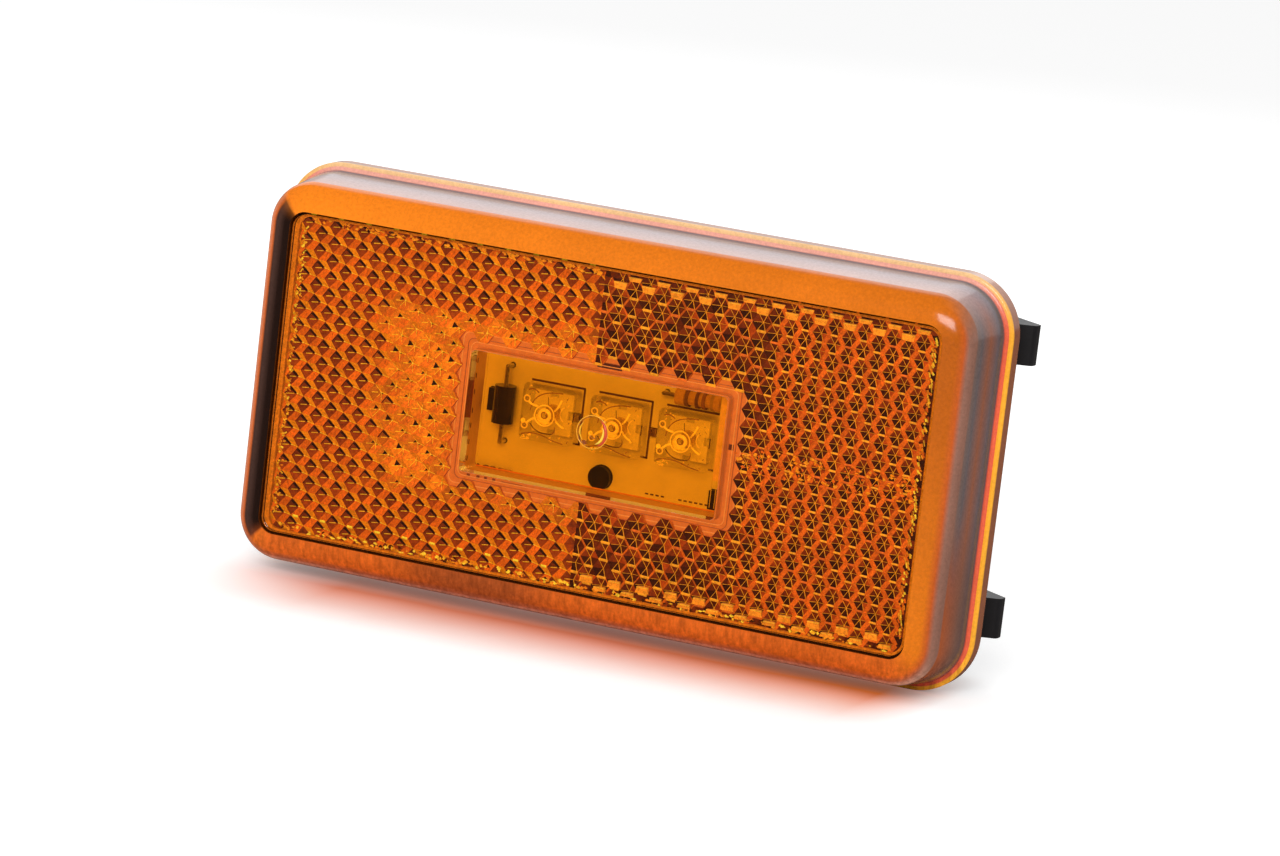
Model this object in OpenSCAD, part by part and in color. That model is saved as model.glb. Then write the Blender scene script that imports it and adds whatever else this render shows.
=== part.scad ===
// Side marker lamp for a truck or trailer: amber lens with a reflex panel round a clear window,
// three light-emitting diodes on a board, and a black base that snaps into a rectangular cut-out.
// The lamp looks along -Y, X runs along its length and Z is up.
// The origin is the middle of the mounting plane, the back face of the lens flange.

/* [Lens] */
// Length of the flange
lamp_w = 103.8; // [98:0.1:115]
// Height of the flange
lamp_h = 55; // [53:0.1:62]
// Distance from the mounting plane to the lens face
face_depth = 13.6; // [13:0.1:15]
// Thickness of the flange
flange_t = 2.9; // [2.4:0.05:3.2]
// Overhang of the flange past the foot of the side wall
flange_lip = 1; // [0.6:0.05:1.5]
// Width of the sloped bezel, from the panel's edge to the side wall
bezel_w = 3.5; // [3.2:0.1:3.6]
// How far the side wall leans outwards from the bezel to its foot
wall_draft = 1.25; // [1.2:0.05:1.8]
// Corner radius at the panel's edge
inner_r = 2.2; // [2:0.1:3]

/* [Reflex panel and window] */
// Thickness of the reflex panel
panel_t = 2; // [1.6:0.1:2]
// Gap of the seam round the panel
seam = 0.3; // [0.2:0.05:0.4]
// Width of the window inside its walls
window_w = 36.4; // [35.6:0.1:37]
// Height of the window inside its walls
window_h = 16.2; // [15.6:0.1:16.4]
// Diameter of the moulding gate on the window
gate_d = 4.1; // [3:0.1:5]

/* [Rear body] */
// Length of the rear body
body_w = 83; // [80:0.5:84]
// Height of the rear body
body_h = 47.4; // [46:0.1:47.6]
// Depth of the rear body behind the mounting plane
body_d = 13; // [12.5:0.5:18]
// Wall thickness of the rear body
body_t = 1.8; // [1.5:0.1:2.2]

/* [Snap arms] */
// Reach of a hook past the middle of its arm
hook_reach = 4.9; // [4.4:0.02:5]
// Height of each arm, along Z
arm_w = 5.3; // [4:0.02:6]
// Height of the arms' middles above and below the lamp's middle
arm_z = 18.1; // [16:0.02:18.2]
// Thickness of an arm
arm_t = 1.4; // [1.2:0.1:1.5]

/* [Lights] */
// Distance between neighbouring light-emitting diodes
led_pitch = 9.7; // [9.2:0.1:9.8]
// Side of a diode's square body
led_w = 7.6; // [7:0.1:7.8]

/* [Hidden] */
$fn = 48;

// Lens: half sizes at the panel's edge, from which every other outline is an even offset
bezel_drop = 1.6;
out_foot = bezel_w + wall_draft;
out_lip = out_foot + flange_lip;
edge_w = lamp_w / 2 - out_lip;
edge_h = lamp_h / 2 - out_lip;
face_y = -face_depth;
crown_y = face_y + bezel_drop;
foot_y = -flange_t;
lip_r = 0.35;
plate_out = 3.4;
plate_fit = 0.1;
plate_y = -4.6;
seal_out = 2.6;
seal_y = -5.5;
ledge_in = 1.2;
ledge_t = 1;
cavity_out = 1.6;

// Reflex panel and its window
panel_y = face_y + 0.3;
panel_back = panel_y + panel_t;
window_z = -0.35;
well_t = 1.5;
well_end = -8.1;
gate_h = 0.15;

// Circuit board
board_w = 64;
board_h = 36;
board_t = 1.6;
board_y = -5.6;
board_back = board_y + board_t;
hole_gap = 0.1;

// Light-emitting diodes: clear body on a metal leadframe, with a chip in a cup under the dome
led_x0 = 1.08;
led_x = [for (i = [-1:1]) led_x0 + i * led_pitch];
led_z = 0.13;
led_base = board_y - 0.4;
frame_t = 0.5;
led_seat = led_base - frame_t;
led_t = 1.7;
dome_r = 1.65;
dome_lift = 0.15;
chip_r = 1.2;
pin_w = 0.5;
pin_pitch = 5.08;
pin_end = board_back + 0.8;

// Through-hole parts
wire_d = 0.6;
diode_x = -15.4;
diode_z = 0.25;
diode_pitch = 10.16;
diode_d = 2.9;
diode_l = 5;
diode_y = board_y - 1.6;
resistor_l = 6.3;
resistor_d = 2.3;
resistor_pitch = 10.16;
resistor_y = board_y - 1.25;
resistor_lower_at = [-16.7, -9.5];
resistor_upper_at = [11.85, 5.6];
solder_h = 0.9;
solder_d = 2;

// Posts of the base that hold the board: [x, z, width, height], and one round peg
posts = [[-17.5, 0.45, 1.2, 3], [-1.6, 7.45, 3.3, 1.2], [16, 0.05, 1.2, 1.9], [15.1, -7.25, 1.2, 2.5]];
peg_at = [-1.12, -7.18];
peg_d = 3.1;
post_top = board_y - 0.9;
shoulder = 0.8;

// Connector: a socket with two blades
socket_w = 18;
socket_h = 8.6;
socket_t = 1.6;
socket_d = 11;
socket_r = 1.5;
blade_x = 5.5;
blade_w = 2.8;
blade_t = 0.8;
blade_tip = body_d + 9;
blade_pin_w = 1;
slot_fit = 0.05;
plug_w = 18;
plug_h = 8.4;
plug_t = 3;
pocket_t = 1.2;
gusset_t = 1.2;
gusset_l = 7;
gusset_d = 6;

// Snap arms: each turns on a round knuckle in a trough on the base
pivot_x = 46.8;
pivot_y = 1.2;
knuckle_r = 0.9;
trough_r = 0.95;
trough_w = 3.2;
hook_start = 3.6;
hook_front = 5.2;
hook_back = 7;
arm_end = 10.3;
hook_tip_r = 0.9;

// Points of a curve from a to c that bends towards b
function bend(a, b, c, n = 8) =
    [for (i = [0:n]) let (t = i / n) (1 - t) * (1 - t) * a + 2 * t * (1 - t) * b + t * t * c];

// Points of a circular arc
function arc(centre, r, from, to, n = 6) =
    [for (i = [0:n]) let (a = from + (to - from) * i / n) centre + r * [cos(a), sin(a)]];

// Places a shape drawn in the XY plane so that its height runs along +Y
module facing(x = 0, z = 0, y = 0) {
    translate([x, y, z]) rotate([-90, 0, 0]) children();
}

module rounded_rect(half_w, half_h, r) {
    square([2 * (half_w - r), 2 * half_h], center = true);
    square([2 * half_w, 2 * (half_h - r)], center = true);
    for (sx = [-1, 1], sz = [-1, 1])
        translate([sx * (half_w - r), sz * (half_h - r)]) circle(r);
}

// A rounded plate from y0 to y1
module plate(half_w, half_h, r, y0, y1, x = 0, z = 0) {
    facing(x, z, y0) linear_extrude(y1 - y0) rounded_rect(half_w, half_h, r);
}

// Sweeps a section round the panel's edge. The section's x is the distance from the middle of
// the corner's arc, and its y is the lamp's Y.
module around_edge() {
    run_w = edge_w - inner_r;
    run_h = edge_h - inner_r;
    rotate([-90, 0, 0]) {
        for (turn = [0, 180]) rotate(turn) {
            translate([run_w, run_h, 0]) rotate_extrude(angle = 90) children();
            translate([-run_w, run_h, 0]) rotate(90) rotate_extrude(angle = 90) children();
            translate([-run_w, run_h, 0]) rotate([90, 0, 90]) linear_extrude(2 * run_w) children();
            translate([run_w, run_h, 0]) rotate([90, 0, 0]) linear_extrude(2 * run_h) children();
        }
    }
}

module lens_section() {
    translate([inner_r, 0]) polygon(concat(
        bend([0, face_y + 0.05], [1.9, face_y + 0.2], [bezel_w - 0.45, crown_y - 0.32]),
        bend([bezel_w - 0.25, crown_y - 0.16], [bezel_w + 0.1, crown_y + 0.1],
             [bezel_w + 0.3, crown_y + 1], 5),
        bend([out_foot, foot_y - 0.3], [out_foot + 0.05, foot_y], [out_foot + 0.4, foot_y], 3),
        arc([out_lip - lip_r, foot_y + lip_r], lip_r, -90, 0, 4),
        arc([out_lip - lip_r, -lip_r], lip_r, 0, 90, 4),
        [
            [plate_out, 0],
            [plate_out, seal_y],
            [seal_out, seal_y],
            [cavity_out, panel_back + ledge_t],
            [-ledge_in, panel_back + ledge_t],
            [-ledge_in, panel_back + 0.05],
            [0, panel_back + 0.05]
        ]
    ));
}

module lens_frame() color([0.95, 0.45, 0.05, 0.9]) around_edge() lens_section();

module reflex_panel() color([1, 0.5, 0.05, 0.6]) {
    plate(edge_w - seam, edge_h - seam, inner_r - seam, panel_y, panel_back);
    facing(0, 0, panel_y - gate_h) cylinder(d = gate_d, h = gate_h);
    difference() {
        plate(window_w / 2 + well_t, window_h / 2 + well_t, 1.6, panel_back, well_end, 0, window_z);
        plate(window_w / 2, window_h / 2, 0.6, panel_back - 1, well_end + 1, 0, window_z);
    }
}

module lens_seal() color("dimgray") around_edge()
    translate([inner_r + seal_out + 0.05, seal_y + 0.02])
        square([plate_out - seal_out - 0.15, plate_y - seal_y - 0.04]);

module post_shape(grow) {
    for (p = posts) translate([p[0], -p[1]])
        square([p[2] + 2 * grow, p[3] + 2 * grow], center = true);
    translate([peg_at[0], -peg_at[1]]) circle(d = peg_d + 2 * grow);
}

// Outline of both blades, grown by a margin
module blade_shape(grow = 0) {
    for (s = [-1, 1]) translate([s * blade_x, 0])
        square([blade_t + 2 * grow, blade_w + 2 * grow], center = true);
}

// A triangular rib between the socket's wall and the body's back
module gusset(angle, start) {
    rotate([0, angle, 0]) translate([start, 0, -gusset_t / 2]) linear_extrude(gusset_t)
        polygon([[-0.5, body_d - 0.5], [gusset_l, body_d - 0.5], [gusset_l, body_d],
                 [0, body_d + gusset_d], [-0.5, body_d + gusset_d]]);
}

module gussets() {
    for (flip = [0, 180]) {
        gusset(flip, socket_w / 2 + socket_t);
        gusset(flip + 90, socket_h / 2 + socket_t);
    }
}

// Trough that carries one arm's knuckle
module trough(side, level) {
    translate([side * pivot_x, 0, level * arm_z]) difference() {
        translate([-trough_w / 2, -0.5, -arm_w / 2 - 0.4]) cube([trough_w, pivot_y + 0.5, arm_w + 0.8]);
        translate([0, pivot_y, -arm_w]) cylinder(r = trough_r, h = 2 * arm_w);
    }
}

module base_housing() color("#1c1c1e") {
    in_w = body_w / 2 - body_t;
    in_h = body_h / 2 - body_t;
    floor_y = body_d - body_t;
    out = plate_out - plate_fit;
    difference() {
        union() {
            plate(edge_w + out, edge_h + out, inner_r + out, plate_y, -0.05);
            plate(body_w / 2, body_h / 2, 3, -0.5, body_d);
            plate(socket_w / 2 + socket_t, socket_h / 2 + socket_t, socket_r + socket_t,
                  body_d - 0.5, body_d + socket_d);
            gussets();
        }
        plate(in_w, in_h, 1.5, plate_y - 1, floor_y);
        plate(socket_w / 2, socket_h / 2, socket_r, body_d, body_d + socket_d + 1);
        facing(0, 0, floor_y - 1) linear_extrude(body_t + 2) blade_shape(slot_fit);
    }
    for (side = [-1, 1], level = [-1, 1]) trough(side, level);
    facing(0, 0, post_top) linear_extrude(floor_y + 0.5 - post_top) post_shape(0);
    facing(0, 0, board_back) linear_extrude(floor_y + 0.5 - board_back) post_shape(shoulder);
    difference() {
        plate(plug_w / 2 + pocket_t, plug_h / 2 + pocket_t, 1.5, floor_y - plug_t, floor_y + 0.5);
        plate(plug_w / 2, plug_h / 2, 0.5, floor_y - plug_t - 1, floor_y + 1);
    }
}

module snap_arm(side, level) {
    mirror([side < 0 ? 1 : 0, 0, 0])
        translate([pivot_x, pivot_y, level * arm_z - arm_w / 2]) {
            cylinder(r = knuckle_r, h = arm_w);
            linear_extrude(arm_w) polygon(concat(
                [[-arm_t / 2, 0], [arm_t / 2, 0], [arm_t / 2, hook_start]],
                arc([hook_reach - hook_tip_r, hook_front + hook_tip_r], hook_tip_r, -60, 0, 5),
                [[hook_reach, hook_back], [arm_t / 2, arm_end - 0.3], [arm_t / 2 - 0.4, arm_end],
                 [-arm_t / 2, arm_end]]
            ));
        }
}

module snap_arm_upper_right() color("#1c1c1e") snap_arm(1, 1);
module snap_arm_lower_right() color("#1c1c1e") snap_arm(1, -1);
module snap_arm_upper_left() color("#1c1c1e") snap_arm(-1, 1);
module snap_arm_lower_left() color("#1c1c1e") snap_arm(-1, -1);

// Square positions of the four pins of each light-emitting diode
module at_led_pins() {
    for (x = led_x, sx = [-1, 1], sz = [-1, 1])
        translate([x + sx * pin_pitch / 2, 0, led_z + sz * pin_pitch / 2]) children();
}

module at_wire_ends() {
    for (s = [-1, 1]) translate([diode_x, 0, diode_z + s * diode_pitch / 2]) children();
    for (at = [resistor_lower_at, resistor_upper_at], s = [-1, 1])
        translate([at[0] + s * resistor_pitch / 2, 0, at[1]]) children();
}

module circuit_board() color("whitesmoke") difference() {
    plate(board_w / 2, board_h / 2, 1, board_y, board_back);
    facing(0, 0, board_y - 1) linear_extrude(board_t + 2) {
        post_shape(hole_gap);
        for (s = [-1, 1]) translate([s * blade_x, 0])
            square([blade_t + 2 * hole_gap, blade_pin_w + 2 * hole_gap], center = true);
    }
    at_led_pins() facing(0, 0, board_y - 1) cylinder(d = 0.9, h = board_t + 2);
    at_wire_ends() facing(0, 0, board_y - 1) cylinder(d = wire_d + 0.2, h = board_t + 2);
}

module led_body(x) {
    plate(led_w / 2, led_w / 2, 0.7, led_seat - led_t, led_seat, x, led_z);
    translate([x, led_seat - led_t - dome_lift, led_z]) rotate([90, 0, 0]) rotate_extrude()
        polygon(concat([[0, -dome_lift - 0.4], [dome_r, -dome_lift - 0.4]],
                       arc([0, 0], dome_r, 0, 84, 12), [[0, dome_r]]));
}

module led_left() color([1, 1, 0.9, 0.4]) led_body(led_x[0]);
module led_middle() color([1, 1, 0.9, 0.4]) led_body(led_x[1]);
module led_right() color([1, 1, 0.9, 0.4]) led_body(led_x[2]);

// Four tabs and a middle disc per diode, each tab ending in a pin through the board
module led_leadframes() color("silver") {
    for (x = led_x) difference() {
        union() {
            facing(x, led_z, led_seat) cylinder(r = 2.2, h = frame_t);
            for (sx = [-1, 1], sz = [-1, 1])
                facing(x, led_z, led_seat) linear_extrude(frame_t)
                    translate([sx * pin_pitch / 3, sz * pin_pitch / 3])
                        square(pin_pitch / 3 + pin_w, center = true);
        }
        facing(x, led_z, led_seat - 1) cylinder(r = chip_r, h = frame_t + 2);
    }
    at_led_pins() facing(0, 0, led_seat)
        linear_extrude(pin_end - led_seat) square(pin_w, center = true);
}

module led_chips() color("gold")
    for (x = led_x) facing(x, led_z, led_seat + 0.02) cylinder(r = chip_r - 0.02, h = frame_t - 0.02);

module diode_body() color("#222222")
    translate([diode_x, diode_y, diode_z - diode_l / 2]) cylinder(d = diode_d, h = diode_l);

// One bent wire from a component's end, at height y, through the board. It runs along local X.
module bent_wire(start, reach, y) {
    translate([start, y, 0]) rotate([0, 90, 0]) cylinder(d = wire_d, h = reach);
    translate([start + reach, y, 0]) sphere(d = wire_d);
    facing(start + reach, 0, y) cylinder(d = wire_d, h = pin_end - y);
}

module two_wires(length, pitch, y) {
    for (s = [0, 1]) mirror([s, 0, 0]) bent_wire(length / 2, pitch / 2 - length / 2, y);
}

module diode_leads() color("silver") translate([diode_x, 0, diode_z]) rotate([0, 90, 0])
    two_wires(diode_l, diode_pitch, diode_y);

module resistor(at) {
    cap = 1.3;
    waist = resistor_d - 0.4;
    translate([at[0] - resistor_l / 2, resistor_y, at[1]]) rotate([0, 90, 0]) {
        cylinder(d = resistor_d, h = cap);
        cylinder(d = waist, h = resistor_l);
        translate([0, 0, resistor_l - cap]) cylinder(d = resistor_d, h = cap);
    }
}

module resistor_lower() color("tan") resistor(resistor_lower_at);
module resistor_upper() color("tan") resistor(resistor_upper_at);

module resistor_leads() color("silver")
    for (at = [resistor_lower_at, resistor_upper_at])
        translate([at[0], 0, at[1]]) two_wires(resistor_l, resistor_pitch, resistor_y);

// A fillet of solder round a lead on the board's back
module solder(hole_r) {
    facing(0, 0, board_back) rotate_extrude()
        polygon([[hole_r, 0], [solder_d / 2, 0], [hole_r + 0.25, solder_h * 0.5], [hole_r, solder_h * 0.7]]);
}

module solder_joints() color("lightgray") {
    at_led_pins() solder(0.36);
    at_wire_ends() solder(wire_d / 2);
}

module terminal(side) {
    tip = 0.9;
    translate([side * blade_x, 0, 0]) {
        translate([-blade_t / 2, 0, 0]) rotate([90, 0, 90]) linear_extrude(blade_t)
            polygon([[board_back + 0.02, -blade_w / 2], [blade_tip - tip, -blade_w / 2],
                     [blade_tip, -blade_w / 2 + tip], [blade_tip, blade_w / 2 - tip],
                     [blade_tip - tip, blade_w / 2], [board_back + 0.02, blade_w / 2]]);
        facing(0, 0, board_y - 0.5) linear_extrude(board_t + 1)
            square([blade_t, blade_pin_w], center = true);
    }
}

module terminal_left() color("goldenrod") terminal(-1);
module terminal_right() color("goldenrod") terminal(1);

module potting_plug() color("#303034") {
    floor_y = body_d - body_t;
    difference() {
        plate(plug_w / 2, plug_h / 2, 0.5, floor_y - plug_t, floor_y);
        facing(0, 0, floor_y - plug_t - 1) linear_extrude(plug_t + 2) blade_shape();
    }
}

lens_frame();
reflex_panel();
lens_seal();
base_housing();
snap_arm_upper_right();
snap_arm_lower_right();
snap_arm_upper_left();
snap_arm_lower_left();
circuit_board();
led_left();
led_middle();
led_right();
led_leadframes();
led_chips();
diode_body();
diode_leads();
resistor_lower();
resistor_upper();
resistor_leads();
solder_joints();
terminal_left();
terminal_right();
potting_plug();
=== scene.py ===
"""Looks of the side marker lamp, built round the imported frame. Lengths below are in millimetres."""

import math
import random

import bpy
from mathutils import Matrix, Vector

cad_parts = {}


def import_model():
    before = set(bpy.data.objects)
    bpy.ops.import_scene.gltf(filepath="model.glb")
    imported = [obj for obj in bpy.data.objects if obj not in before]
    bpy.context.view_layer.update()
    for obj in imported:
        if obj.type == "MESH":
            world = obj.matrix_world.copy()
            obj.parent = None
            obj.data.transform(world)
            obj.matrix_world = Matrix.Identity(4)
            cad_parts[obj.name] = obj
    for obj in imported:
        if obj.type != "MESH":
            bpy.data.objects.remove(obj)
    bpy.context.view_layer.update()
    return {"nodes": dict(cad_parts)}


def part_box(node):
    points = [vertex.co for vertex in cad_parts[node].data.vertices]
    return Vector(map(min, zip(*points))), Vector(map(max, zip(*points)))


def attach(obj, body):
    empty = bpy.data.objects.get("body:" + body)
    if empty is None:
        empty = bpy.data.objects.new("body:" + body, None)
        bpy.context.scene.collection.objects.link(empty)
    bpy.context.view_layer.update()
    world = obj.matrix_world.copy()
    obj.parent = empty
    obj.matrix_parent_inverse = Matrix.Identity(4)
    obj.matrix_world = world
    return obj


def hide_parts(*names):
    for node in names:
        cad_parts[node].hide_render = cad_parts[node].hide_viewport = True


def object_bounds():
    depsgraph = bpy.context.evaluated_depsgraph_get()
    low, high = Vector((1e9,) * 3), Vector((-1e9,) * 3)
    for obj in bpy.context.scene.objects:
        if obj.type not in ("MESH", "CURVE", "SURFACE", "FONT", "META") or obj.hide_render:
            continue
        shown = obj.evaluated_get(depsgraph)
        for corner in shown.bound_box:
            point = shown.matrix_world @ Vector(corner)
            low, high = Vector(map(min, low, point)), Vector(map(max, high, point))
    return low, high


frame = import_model()
nodes = frame["nodes"]
rng = random.Random(7)
MM = 0.001

# ---------------------------------------------------------------- the lamp's own sizes, as in its CAD
LIP_OUT = 5.75
EDGE_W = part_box("lens_frame")[1].x / MM - LIP_OUT
EDGE_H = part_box("lens_frame")[1].z / MM - LIP_OUT
INNER_R = 2.2
BEZEL_W = 3.5
FACE_Y = -13.6
CROWN_Y = -12.0
FOOT_Y = -2.9
FOOT_OUT = 4.75
LIP_R = 0.35
PANEL_Y = -13.3
PANE_BACK = -12.85
PANEL_BACK = -11.3
SEAM = 0.36
WINDOW_HALF = (18.2, 8.1)
WINDOW_Z = -0.35
WELL_T = 1.5
WELL_END = -8.1
BOARD_Y = -5.6
LED_HALF = 3.8
LED_X = [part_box(n)[0].x / MM + LED_HALF for n in ("led_left", "led_middle", "led_right")]
LED_Z = 0.13
LED_SEAT = -6.5


# ---------------------------------------------------------------- colour and number helpers
def srgb(r, g, b):
    """An 8-bit screen colour as linear light."""
    def linear(c):
        c /= 255
        return c / 12.92 if c <= 0.04045 else ((c + 0.055) / 1.055) ** 2.4
    return (linear(r), linear(g), linear(b))


def blend(a, b, t):
    return tuple(x + (y - x) * t for x, y in zip(a, b))


def ramp(low, high, x):
    """0 below low, 1 above high, smooth between."""
    t = min(1.0, max(0.0, (x - low) / (high - low)))
    return t * t * (3 - 2 * t)


def shade(tone, k):
    return tuple(c * k for c in tone)


# ---------------------------------------------------------------- mesh helpers
class Shape:
    """Vertices, faces and one tone per face (or per vertex) of a piece that is being built."""

    def __init__(self):
        self.verts = []
        self.faces = []
        self.tones = []

    def add(self, verts, faces, tone):
        start = len(self.verts)
        self.verts += [tuple(v) for v in verts]
        self.faces += [tuple(start + i for i in f) for f in faces]
        self.tones += tone if isinstance(tone, list) else [tone] * len(faces)

    def prism(self, outline, y0, y1, tone):
        """A closed block: an outline in (x, z), counter-clockwise seen from -Y, from y0 back to y1."""
        n = len(outline)
        verts = [(x, y0, z) for x, z in outline] + [(x, y1, z) for x, z in outline]
        faces = [tuple(range(n)), tuple(range(2 * n - 1, n - 1, -1))]
        faces += [(i, n + i, n + (i + 1) % n, (i + 1) % n) for i in range(n)]
        self.add(verts, faces, tone)

    def box(self, x0, x1, z0, z1, y0, y1, tone):
        self.prism([(x0, z0), (x1, z0), (x1, z1), (x0, z1)], y0, y1, tone)

    def ridge(self, a, b, width, rise, tone):
        """A thin three-sided bar from a to b (x, y, z), standing rise towards the viewer."""
        dx, dz = b[0] - a[0], b[2] - a[2]
        length = math.hypot(dx, dz)
        if length < 1e-6:
            return
        nx, nz = -dz / length * width / 2, dx / length * width / 2
        verts = [(a[0] + nx, a[1] + 0.05, a[2] + nz), (a[0] - nx, a[1] + 0.05, a[2] - nz),
                 (a[0], a[1] - rise, a[2]),
                 (b[0] + nx, b[1] + 0.05, b[2] + nz), (b[0] - nx, b[1] + 0.05, b[2] - nz),
                 (b[0], b[1] - rise, b[2])]
        faces = [(0, 1, 2), (5, 4, 3), (0, 2, 5, 3), (2, 1, 4, 5), (1, 0, 3, 4)]
        self.add(verts, faces, tone)

    def loop(self, outer, inner, y0, y1, tone):
        """A closed ring between two outlines with the same number of points."""
        n = len(outer)
        verts = [(x, y0, z) for x, z in outer] + [(x, y0, z) for x, z in inner]
        verts += [(x, y1, z) for x, z in outer] + [(x, y1, z) for x, z in inner]
        faces = []
        for i in range(n):
            j = (i + 1) % n
            faces += [(i, j, n + j, n + i), (3 * n + i, 3 * n + j, 2 * n + j, 2 * n + i),
                      (2 * n + i, 2 * n + j, j, i), (n + i, n + j, 3 * n + j, 3 * n + i)]
        self.add(verts, faces, tone)

    def tube(self, points, radius, tone, sides):
        """A round bar along points (x, y, z)."""
        count = len(points)
        rings = []
        for i, p in enumerate(points):
            ahead = Vector(points[min(i + 1, count - 1)]) - Vector(points[max(i - 1, 0)])
            ahead.normalize()
            side = ahead.cross(Vector((0, 1, 0)))
            if side.length < 1e-3:
                side = ahead.cross(Vector((1, 0, 0)))
            side.normalize()
            up = side.cross(ahead)
            r = radius(i / max(1, count - 1)) if callable(radius) else radius
            rings.append([Vector(p) + r * (math.cos(2 * math.pi * k / sides) * side
                                           + math.sin(2 * math.pi * k / sides) * up)
                          for k in range(sides)])
        verts = [v for ring in rings for v in ring]
        faces = []
        for i in range(count - 1):
            a, b = i * sides, (i + 1) * sides
            faces += [(a + k, a + (k + 1) % sides, b + (k + 1) % sides, b + k) for k in range(sides)]
        faces += [tuple(range(sides - 1, -1, -1)), tuple((count - 1) * sides + k for k in range(sides))]
        self.add(verts, faces, tone)


def piece(name, shape, material, body="lamp", domain="CORNER", smooth=False):
    """Makes the object of a shape, in metres, with its tones as the colour attribute 'tone'."""
    mesh = bpy.data.meshes.new(name)
    mesh.from_pydata([tuple(c * MM for c in v) for v in shape.verts], [], shape.faces)
    tone = mesh.color_attributes.new("tone", "FLOAT_COLOR", domain)
    if domain == "CORNER":
        values = [c for poly in mesh.polygons for _ in poly.loop_indices
                  for c in (*shape.tones[poly.index], 1.0)]
    else:
        values = [c for t in shape.tones for c in (*t, 1.0)]
    tone.data.foreach_set("color", values)
    mesh.polygons.foreach_set("use_smooth", [smooth] * len(mesh.polygons))
    mesh.materials.append(material)
    mesh.update()
    obj = bpy.data.objects.new(name, mesh)
    bpy.context.scene.collection.objects.link(obj)
    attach(obj, body)
    return obj


def rounded(half_w, half_h, r, cz=0.0):
    """A rounded rectangle's outline in (x, z), counter-clockwise with X to the right and Z up."""
    points = []
    arc_steps = 8
    for k, (sx, sz) in enumerate(((1, 1), (-1, 1), (-1, -1), (1, -1))):
        for i in range(arc_steps + 1):
            a = math.pi / 2 * (k + i / arc_steps)
            points.append((sx * (half_w - r) + r * math.cos(a),
                           cz + sz * (half_h - r) + r * math.sin(a)))
    return points


# ---------------------------------------------------------------- material helpers
def add_node(tree, kind, inputs=None, **props):
    """A shader node with its properties, and with its inputs linked or set."""
    node = tree.nodes.new("ShaderNode" + kind)
    for key, value in props.items():
        setattr(node, key, value)
    for key, value in (inputs or {}).items():
        if isinstance(value, bpy.types.NodeSocket):
            tree.links.new(value, node.inputs[key])
        else:
            node.inputs[key].default_value = value
    return node


class Paint:
    """A small builder of node materials."""

    def __init__(self, name):
        self.material = bpy.data.materials.new(name)
        self.material.use_nodes = True
        self.tree = self.material.node_tree
        self.tree.nodes.clear()
        self.out = self.tree.nodes.new("ShaderNodeOutputMaterial")
        self.where = self.add("TexCoord").outputs["Object"]

    def add(self, kind, inputs=None, **props):
        return add_node(self.tree, kind, inputs, **props)

    def math(self, operation, a, b=0.0):
        return self.add("Math", {0: a, 1: b}, operation=operation).outputs[0]

    def noise(self, scale, detail=3.0, rough=0.55, stretch=None):
        """Noise with features about 1/scale mm wide, optionally stretched along the axes."""
        k = scale / MM
        size = [k * s for s in (stretch or (1, 1, 1))]
        place = self.add("Mapping", {"Vector": self.where, "Scale": size}).outputs[0]
        return self.add("TexNoise", {"Vector": place, "Scale": 1.0, "Detail": detail,
                                     "Roughness": rough}).outputs["Fac"]

    def remap(self, value, low, high, to_low, to_high):
        return self.add("MapRange", {"Value": value, "From Min": low, "From Max": high,
                                     "To Min": to_low, "To Max": to_high}).outputs[0]

    def times(self, colour, factor):
        return self.add("VectorMath", {0: colour, 1: factor}, operation="MULTIPLY").outputs[0]

    def tone(self):
        return self.add("Attribute", attribute_name="tone", attribute_type="GEOMETRY").outputs["Color"]

    def colours(self, factor, *stops):
        """A colour ramp of (place, linear colour) stops."""
        node = self.add("ValToRGB", {"Fac": factor})
        ramp_stops = node.color_ramp.elements
        while len(ramp_stops) < len(stops):
            ramp_stops.new(0.5)
        for stop, (place, colour) in zip(ramp_stops, stops):
            stop.position = place
            stop.color = (*colour, 1.0)
        return node.outputs["Color"]

    def bump(self, height, strength, distance):
        return self.add("Bump", {"Height": height, "Strength": strength,
                                 "Distance": distance * MM}).outputs[0]

    def surface(self, shader):
        self.tree.links.new(shader, self.out.inputs["Surface"])
        return self.material

    def principled(self, colour, rough, **inputs):
        values = {"Base Color": colour, "Roughness": rough}
        values.update({k.replace("_", " "): v for k, v in inputs.items()})
        return self.surface(self.add("BsdfPrincipled", values).outputs[0])


# ---------------------------------------------------------------- camera, floor and lights
def look(camera_name, lens, aim, place, down):
    """A camera at place that looks at aim, with down as its own downward direction."""
    camera = bpy.data.cameras.new(camera_name)
    camera.lens = lens
    camera.sensor_width = 36
    camera.clip_start = 0.01
    camera.clip_end = 50
    obj = bpy.data.objects.new(camera_name, camera)
    z = (Vector(place) - Vector(aim)).normalized()
    y = -Vector(down)
    y = (y - y.dot(z) * z).normalized()
    x = y.cross(z)
    obj.matrix_world = Matrix((x, y, z)).transposed().to_4x4()
    obj.location = Vector(place) * MM
    bpy.context.scene.collection.objects.link(obj)
    bpy.context.scene.camera = obj


look("camera", 166.35, (2.35, -2.72, -0.35), (287.07, -711.17, 136.33),
     (0.17472, -0.11837, -0.97748))

bpy.context.scene.view_settings.view_transform = "Standard"
bpy.context.scene.view_settings.look = "None"

FLOOR_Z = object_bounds()[0].z / MM


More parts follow.
